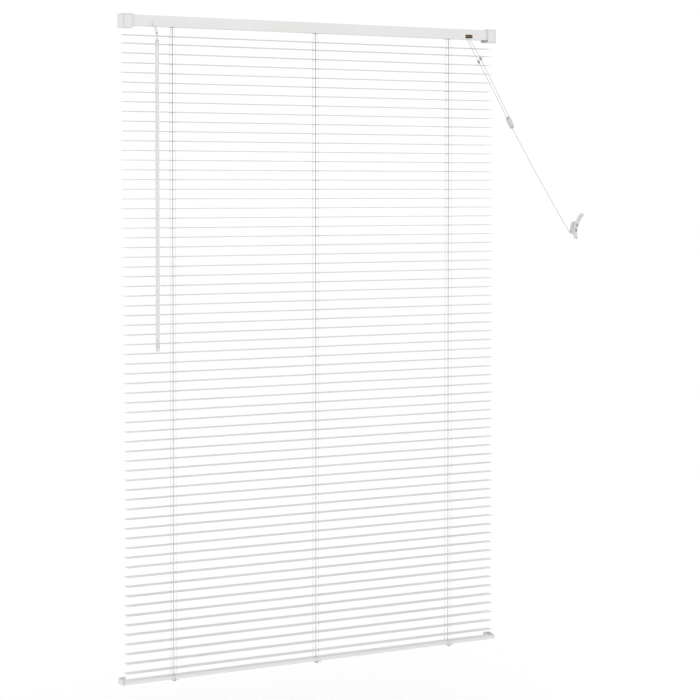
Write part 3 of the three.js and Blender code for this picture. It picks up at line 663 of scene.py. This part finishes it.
def slat(index):
    """One crowned slat with rounded ends and three route holes, a little out of true like rolled metal."""
    draw = random.Random(100 + index)
    lift, tip = draw.uniform(-0.12, 0.12), draw.uniform(-0.006, 0.006)
    phase, wave = draw.uniform(0, 2 * math.pi), draw.uniform(0.05, 0.14)
    slip = draw.uniform(-0.5, 0.5)
    half = SLAT_WIDTH / 2
    arc = (half ** 2 + SLAT_CROWN ** 2) / (2 * SLAT_CROWN)
    wide, deep = HOLE_HALF
    same = 0.1
    points = []
    for x in STATIONS:
        past = max(0, abs(x) - (SLAT_LENGTH / 2 - END_RADIUS))
        reach = half - END_RADIUS + math.sqrt(max(0, END_RADIUS ** 2 - past ** 2))
        near = min(LADDER_X, key=lambda ladder: abs(ladder - x))
        for y in ACROSS:
            px, py = x, y * reach / half
            if abs(abs(x - near) - wide) < same and abs(abs(y) - deep) < same:
                px = near + math.copysign(wide * 0.7, x - near)
                py = math.copysign(deep - wide * 0.3, y)
            crown = math.sqrt(arc ** 2 - py ** 2) - arc + SLAT_CROWN / 2
            ripple = wave * math.sin(px / RIPPLE_LENGTH + phase)
            height = slat_z(index) + crown + lift * px / LIFT_AT + ripple * 0.5 + tip * py
            points.append((px + slip, py, height))
    rows = len(ACROSS)
    faces = []
    for i in range(len(STATIONS) - 1):
        inside = any(abs((STATIONS[i] + STATIONS[i + 1]) / 2 - ladder) < wide for ladder in LADDER_X)
        for k in range(rows - 1):
            if inside and abs((ACROSS[k] + ACROSS[k + 1]) / 2) < deep:
                continue
            first = i * rows + k
            faces.append([first, first + rows, first + rows + 1, first + 1])
    number = index + 1
    node = f"slat_{number:02d}"
    made = piece(f"slat_blade_{number:02d}", Shape().add(points, faces), "slat_paint")
    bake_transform(made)
    metal = made.modifiers.new("metal", "SOLIDIFY")
    metal.thickness = SLAT_METAL * MM
    metal.offset = -1
    if node in CAD_SLATS:
        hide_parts(node)


for index in range(SLAT_COUNT):
    slat(index)


# ---- ladders: a front and a rear cord joined by two rungs under every slat
def ladder(side, x):
    """The cords come down close together from the drum, spread above the slats and stay apart."""
    shape = Shape()
    spread_end = -45
    for way in (-1, 1):
        y, top = way * LADDER_HALF, way * LADDER_TOP_HALF
        route = [(x, top, -14.5), (x, top, -36), (x, way * (LADDER_TOP_HALF + 0.6), -38.6),
                 (x, way * (LADDER_HALF - 0.6), -43.4), (x, y, spread_end)]
        for index in range(SLAT_COUNT):
            z = slat_z(index) - SLAT_CROWN / 2 - 0.6
            if z < spread_end - 5:
                route += [(x, y, z + 3), (x, y - way * 0.25, z), (x, y, z - 3)]
        route.append((x, y, RAIL_TOP + 2))
        shape.add(*sweep(route, LADDER_CORD / 2, sides=8))
    edge = SLAT_WIDTH / 2
    half = LADDER_HALF - 0.2
    for index in range(SLAT_COUNT):
        z = slat_z(index) - SLAT_CROWN / 2 - 0.55
        for off in (-2.6, 2.6):
            rung = [(x + off * 0.1, -half, z + 0.5), (x + off, -edge + 0.6, z), (x + off, 0, z - 0.15),
                    (x + off, edge - 0.6, z), (x + off * 0.1, half, z + 0.5)]
            shape.add(*sweep(rung, RUNG / 2, sides=6))
    made = piece(f"ladder_{side}", shape, "ladder_cord",
                 replaces=[f"ladder_front_{side}", f"ladder_rear_{side}"])
    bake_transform(made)


def ladder_ends(side, x):
    """The cords' lower ends, gripped by the clip under the rail."""
    shape = Shape()
    for way in (-1, 1):
        y = way * LADDER_HALF
        route = [(x, y, RAIL_TOP + 14), (x, y, RAIL_TOP - 4), (x, y, RAIL_BOTTOM + 1)]
        shape.add(*sweep(route, LADDER_CORD * 0.42, sides=8))
    piece(f"ladder_ends_{side}", shape, "ladder_cord", "fixed")


def lift_cord(side, x, lane):
    """Up through every slat, over a small elbow in the headrail and along to the cord lock."""
    along, bend = -18, 3.4
    start = LOCK.x - 17
    route = [(x, 0, RAIL_TOP - 2), (x, 0, -1000), (x, 0, -500), (x, 0, -27)]
    for i in range(1, 10):
        turn = i / 9 * math.pi / 2
        route.append((x + bend * (1 - math.cos(turn)), 0, along - bend + bend * math.sin(turn)))
    shift = min(20, (start - x) * 0.3)
    route += [(x + bend + shift * 0.5, lane * 0.5, along), (x + bend + shift, lane, along)]
    route += [(start, lane, along), (start + 7, lane, along)]
    shape = Shape().add(*sweep(route, LIFT_CORD / 2, sides=10))
    piece(f"lift_cord_{side}_braid", shape, "lift_cord", "fixed", [f"lift_cord_{side}"])


for side, x, lane in zip(SIDES, LADDER_X, (-3.5, 3.5, 0)):
    ladder(side, x)
    ladder_ends(side, x)
    lift_cord(side, x, lane)
    refined(f"ladder_clip_{side}", "trim_plastic", 0.5)


# ---- sheet metal, moulded trim and the works inside the headrail
STEM_TOP = Vector((-421.5, -8.6, -10.3))
STEM_END = Vector((-421.5, -24, -43))
HOOD_HALF = 5.7
HOOD_TOP = -11.5
HOOD_BACK = -6
HOOD_SWELL = 0.28
RAIL_FLOOR = -25
RAIL_FRONT = here(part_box("headrail")[0]).y
DOOR_HINGE = (-15.4, 1.1)
RIM_PROUD = 0.3
# Top of the dark block painted as shade under the headrail.
SHADE_BLOCK_TOP = -24.4

refined("headrail", "headrail_paint", 0.35)
refined("bottom_rail", "rail_paint", 0.25)
refined("tilt_rod", "rod_steel", 0.3)
for side in ENDS:
    refined(f"bracket_{side}", "bracket_paint", 0.4)
    refined(f"bracket_door_{side}", "bracket_paint", 0.45)
    refined(f"headrail_plug_{side}", "works_plastic", 0.4)
    refined(f"rail_cap_{side}", "trim_plastic", 0.5)
    refined(f"hold_down_{side}", "trim_plastic", 0.4)
for node in ("worm_wheel", "lock_housing", *(f"cradle_{side}" for side in SIDES)):
    refined(node, "works_plastic", 0.3)


def tilter_housing():
    """The hood is pressed into the headrail's notch, so it's swollen until it meets the notch's edges."""
    made = refined("tilter_housing", "works_plastic", 0.15, finish="headrail_paint")
    same = 0.05
    for vertex in made.data.vertices:
        spot = here(vertex.co)
        across = spot.x - STEM_TOP.x
        if spot.y < HOOD_BACK and abs(abs(across) - HOOD_HALF) < same and spot.z > RAIL_FLOOR:
            vertex.co.x += math.copysign(HOOD_SWELL * MM, across)
            if abs(spot.z - HOOD_TOP) < same:
                vertex.co.z += HOOD_SWELL * MM


tilter_housing()


def block(shape, x, y, z):
    """Adds a box, given as its two ends along each axis."""
    corners = ((x[0], y[0]), (x[1], y[0]), (x[1], y[1]), (x[0], y[1]))
    return shape.add([(a, b, c) for c in z for a, b in corners],
                     [[3, 2, 1, 0], [4, 5, 6, 7], [0, 1, 5, 4], [1, 2, 6, 5], [2, 3, 7, 6], [3, 0, 4, 7]])


def clip_painted_shadow(side, x):
    """Painted shadow in dark grey at a ladder clip: a narrow strip down the clip's front and a block under
    the rail.
    """
    low = here(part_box(f"ladder_clip_{side}")[0])
    # Both blocks are painted shadow: cord runs down the clip's front, the other sits under the rail.
    cord, under_shadow = (x - 3.8, x - 2.3), (x - 7.8, x - 1.9)
    shape = block(Shape(), cord, (low.y - 0.25, low.y + 1.6), (low.z + 1.6, RAIL_TOP - 1.6))
    block(shape, under_shadow, (low.y - 0.1, low.y + 5), (low.z - 0.3, low.z + 2))
    made = piece(f"clip_painted_shadow_{side}", shape, "trim_plastic", "fixed", finish="clip_shadow_grey")
    soften(made, 0.5, segments=3)


for side, x in zip(SIDES, LADDER_X):
    clip_painted_shadow(side, x)


def inset(corners, by):
    """A convex outline, anticlockwise, with every side moved in."""
    corners = [Vector(c) for c in corners]
    out = []
    for before, corner, after in zip(corners[-1:] + corners, corners, corners[1:] + corners[:1]):
        first, second = (corner - before).normalized(), (after - corner).normalized()
        n0, n1 = Vector((-first.y, first.x)), Vector((-second.y, second.x))
        out.append(corner + (n0 + n1) * (by / (1 + n0.dot(n1))))
    return out


def rim(name, corners, width, put, slot, body):
    """A raised rim just inside an outline, coloured darker as painted shade; put(u, v, depth) places its
    points on the face.
    """
    count = len(corners)
    margin = 0.3
    outside, inside = inset(corners, margin), inset(corners, margin + width)
    rings = [(outside, 0), (outside, 1), (inside, 1), (inside, 0)]
    points = [put(c.x, c.y, depth) for ring, depth in rings for c in ring]
    faces = []
    for ring in range(len(rings)):
        this, over = ring * count, (ring + 1) % len(rings) * count
        for k in range(count):
            after = (k + 1) % count
            faces.append([this + k, this + after, over + after, over + k])
    made = piece(name, Shape().add(points, faces), slot, body, finish="rim_painted_shade")
    net = bmesh.new()
    net.from_mesh(made.data)
    bmesh.ops.recalc_face_normals(net, faces=net.faces)
    net.to_mesh(made.data)
    net.free()
    soften(made, 0.2)


def blind_box(node):
    low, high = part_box(node)
    return here(low), here(high)


def outer_rim(side, way):
    low, high = blind_box(f"bracket_{side}")
    outer = low.x if way < 0 else high.x
    face = [(low.y, low.z), (high.y, low.z), (high.y, high.z), (low.y, high.z)]
    rim(f"bracket_rim_{side}", face, 1.6, lambda u, v, depth: (outer + way * RIM_PROUD * depth, u, v),
        "bracket_paint", "fixed")


def door_rim(side, way):
    """Follows the door's outline, whose lower corner is cut off at its inner end."""
    low, high = blind_box(f"bracket_door_{side}")
    cut = 4
    face = [(low.x, low.z), (high.x, low.z), (high.x, high.z), (low.x, high.z)]
    if way < 0:
        face[1:2] = [(high.x - cut, low.z), (high.x, low.z + cut)]
    else:
        face[0:1] = [(low.x, low.z + cut), (low.x + cut, low.z)]
    rim(f"bracket_door_rim_{side}", face, 1.9, lambda u, v, depth: (u, low.y - RIM_PROUD * depth, v),
        "bracket_paint", BODY_OF[f"bracket_door_{side}"])


def door_folds(side, way, inner):
    """The barrel that the door turns on, in the darker colour of painted shade, and the flange folded back
    at its inner end.
    """
    body = BODY_OF[f"bracket_door_{side}"]
    barrel = [(0.5, 1), (0.8, 1.2), (0.8, 22.8), (0.5, 23)]
    shape = Shape().add(*lathe(barrel, (inner, *DOOR_HINGE), (way, 0, 0), sides=24))
    piece(f"bracket_barrel_{side}", shape, "bracket_paint", body, finish="rim_painted_shade")

    door_front = blind_box(f"bracket_door_{side}")[0].y
    across = sorted((inner + way * 0.2, inner + way * 1.4))
    shape = block(Shape(), across, (door_front + 1, RAIL_FRONT - 0.25), (-23.5, -0.4))
    soften(piece(f"bracket_return_{side}", shape, "bracket_paint", body), 0.3)


def bracket_shade_strips(side, way, inner):
    """Painted shade in dark grey: a thin strip along the top plate's inner edge, and a block under the
    headrail standing in for the shaded slot there.
    """
    low, high = blind_box(f"bracket_{side}")
    plate = sorted((inner - way * 0.35, inner))
    shape = block(Shape(), plate, (low.y + 0.2, high.y), (high.z - 1.4, high.z))
    shade_block_span = sorted((inner + way * 0.3, inner + way * 20))
    block(shape, shade_block_span, (low.y + 1, high.y - 1.5), (low.z + 1.3, SHADE_BLOCK_TOP))
    soften(piece(f"bracket_shade_block_{side}", shape, "bracket_paint", "fixed", finish="edge_shade_grey"), 0.15)


for side, way in zip(ENDS, (-1, 1)):
    low, high = blind_box(f"bracket_{side}")
    inner = high.x if way < 0 else low.x
    outer_rim(side, way)
    door_rim(side, way)
    door_folds(side, way, inner)
    bracket_shade_strips(side, way, inner)


def drum(side):
    groove, flange, half = 6, 7, 6
    profile = [
        (3.2, -half), (6.6, -half), (flange, -half + 0.3), (flange, -half + 1.3), (6.7, -half + 1.8),
        (groove + 0.1, -half + 2.4), (groove, -half + 3), (groove, half - 3), (groove + 0.1, half - 2.4),
        (6.7, half - 1.8), (flange, half - 1.3), (flange, half - 0.3), (6.6, half), (3.2, half),
    ]
    shape = Shape().add(*lathe(profile, middle_of(f"drum_{side}"), (1, 0, 0)))
    piece(f"drum_{side}_turned", shape, "works_plastic", "tilt_rod", [f"drum_{side}"])


for side in SIDES:
    drum(side)


# ---- tilter stem, connector and wand
WAND_X, WAND_Y = STEM_END.x, STEM_END.y
WAND_END = -745
WAND_ACROSS = 8.6


def hexagon(softness):
    """How far a rounded hexagon's edge lies from its middle, as a share of its corner radius."""
    def reach(angle):
        sector = (angle + math.pi / 6) % (math.pi / 3) - math.pi / 6
        sharp = math.cos(math.pi / 6) / math.cos(math.pi / 6 - abs(sector))
        return 1 - (1 - sharp) * (1 - softness) - softness * 0.06
    return reach


def tilter_stem():
    """The worm, the shaft below it and the eye that the wand hangs from."""
    way = STEM_END - STEM_TOP
    length = way.length
    profile = [(1.8, 0)]
    worm, turns = 8, 16
    for i in range(turns):
        h = worm * i / turns
        profile += [(1.85, h + 0.02), (2.3, h + 0.17), (2.3, h + 0.28), (1.85, h + 0.45)]
    neck = worm + 8.4
    profile += [(1.8, worm + 0.4), (1.8, neck), (2.2, neck + 0.3), (2.8, neck + 0.9), (3, neck + 1.6),
                (3, length - 5.2), (2.8, length - 4.8), (2.5, length - 4.4)]
    shape = Shape().add(*lathe(profile, STEM_TOP, way))
    piece("tilter_stem_turned", shape, "works_plastic", BODY_OF["tilter_stem"], ["tilter_stem"],
          finish="stem_grey")
    eye = [(2, length - 4.6), (2.4, length - 4.4), (2.4, length - 1.1), (2.1, length - 0.4), (1.5, length)]
    shape = Shape().add(*lathe(eye, STEM_TOP, way))
    piece("tilter_stem_eye", shape, "works_plastic", BODY_OF["tilter_stem"], finish="eye_grey")


def wand_connector():
    profile = [(1.4, -9), (1.9, -8.9), (2.4, -7.6), (2.5, -7),
               (2.5, -2.4), (2.3, -1.9), (1.4, -1.3), (0.9, -1.2)]
    shape = Shape().add(*lathe([(radius, STEM_END.z + h) for radius, h in profile], (WAND_X, WAND_Y, 0)))
    piece("wand_connector_sleeve", shape, "wand_clear", BODY_OF["wand_connector"], ["wand_connector"],
          finish="stem_grey")


def wand():
    """A hexagonal rod with a round neck under the connector and a round tip."""
    corner = WAND_ACROSS / math.sqrt(3)
    neck_top = STEM_END.z - 9.3
    steps = 24
    low, high = WAND_END + 8.5, neck_top - 3.4
    shaft = [(corner, low + (high - low) * i / steps) for i in range(steps + 1)]
    shape = Shape().add(*lathe(shaft, (WAND_X, WAND_Y, 0), around=hexagon(0.25)))
    neck = [(3.2, high - 1), (3.8, high - 0.4), (3.8, high + 0.8), (3.5, high + 1.6), (2.9, high + 2.4),
            (2.8, neck_top - 0.5), (2.3, neck_top)]
    tip = [(2.4, WAND_END), (3.4, WAND_END + 0.3), (4.2, WAND_END + 1.2), (4.6, WAND_END + 2.4),
           (4.6, WAND_END + 7.4), (4.3, WAND_END + 8.2), (3.8, WAND_END + 8.7)]
    for part in (neck, tip):
        shape.add(*lathe(part, (WAND_X, WAND_Y, 0)))
    piece("wand_rod", shape, "wand_clear", BODY_OF["wand"], ["wand"])


tilter_stem()
wand_connector()
wand()


# ---- cord lock roller
def roller():
    half, radius, axle = 9.8, 3.4, 1.2
    ridges = 22
    profile = [(axle, -half - 2.2), (axle, -half), (radius - 0.6, -half), (radius - 0.1, -half + 0.4),
               (radius, -half + 1), (radius, half - 1), (radius - 0.1, half - 0.4), (radius - 0.6, half),
               (axle, half), (axle, half + 2.2)]
    shape = Shape().add(*lathe(
        profile, LOCK, (1, 0, 0), sides=ridges * 4, around=lambda a: 1 + 0.025 * math.cos(ridges * a)))
    piece("lock_roller_knurled", shape, "roller_brass", BODY_OF["lock_roller"], ["lock_roller"])


roller()


# ---- wall cleat and its screws
def cleat():
    """The cleat's CAD shape, remeshed and eased so that its edges are as round as a moulding's."""
    mesh = frame["nodes"]["cord_cleat"].data.copy()
    made = bpy.data.objects.new("cord_cleat_moulded", mesh)
    bpy.context.collection.objects.link(made)
    net = made.modifiers.new("net", "REMESH")
    net.mode = "VOXEL"
    net.voxel_size = 0.45 * MM
    ease = made.modifiers.new("ease", "SMOOTH")
    ease.factor = 0.6
    ease.iterations = 8
    dressed(made, "cleat_plastic", BODY_OF["cord_cleat"], ["cord_cleat"])


def screw(name):
    """A countersunk pan head with a shallow round recess, on its shank."""
    low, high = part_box(name)
    middle = here((low + high) / 2)
    head_y = here(low).y
    tip_y = here(high).y
    length = tip_y - head_y
    profile = [(1.2, 0), (1.7, 0.5), (1.7, length - 1.9), (3.4, length - 1.9), (3.5, length - 1.4),
               (3.2, length - 0.7), (2.5, length - 0.2), (1.4, length), (1.3, length - 0.9)]
    shape = Shape().add(*lathe(profile, (middle.x, tip_y, middle.z), (0, -1, 0)))
    piece(f"{name}_turned", shape, "screw_steel", BODY_OF[name], [name])


cleat()
screw("cleat_screw_upper")
screw("cleat_screw_lower")


# ---- stage and light
def stage():
    floor_z = -1760
    reach = 60000
    corners = [(-reach, -reach), (reach, -reach), (reach, reach), (-reach, reach)]
    mesh = bpy.data.meshes.new("floor")
    mesh.from_pydata([at(x, y, floor_z) for x, y in corners], [], [[0, 1, 2, 3]])
    floor = bpy.data.objects.new("floor", mesh)
    bpy.context.collection.objects.link(floor)
    finish = Finish("floor", roughness=0.9)
    finish.set(Base_Color=(0.99, 0.99, 0.99, 1), Specular_IOR_Level=0.1)
    mesh.materials.append(finish.material)
    floor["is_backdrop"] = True


def light():
    scene = bpy.context.scene
    scene.view_settings.view_transform = "Standard"
    world = bpy.data.worlds.new("studio")
    scene.world = world
    world.use_nodes = True
    sky = world.node_tree.nodes["Background"]
    sky.inputs["Color"].default_value = (1, 1, 1, 1)
    sky.inputs["Strength"].default_value = 1.02
    softbox = bpy.data.lights.new("softbox", "AREA")
    softbox.shape = "SQUARE"
    softbox.size = 3.5
    softbox.energy = 16
    lamp = bpy.data.objects.new("softbox", softbox)
    lamp.location = at(-3200, -3600, 1500)
    aim = at(0, 0, -700) - lamp.location
    lamp.rotation_euler = aim.to_track_quat("-Z", "Y").to_euler()
    bpy.context.collection.objects.link(lamp)


stage()
light()

low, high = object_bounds()
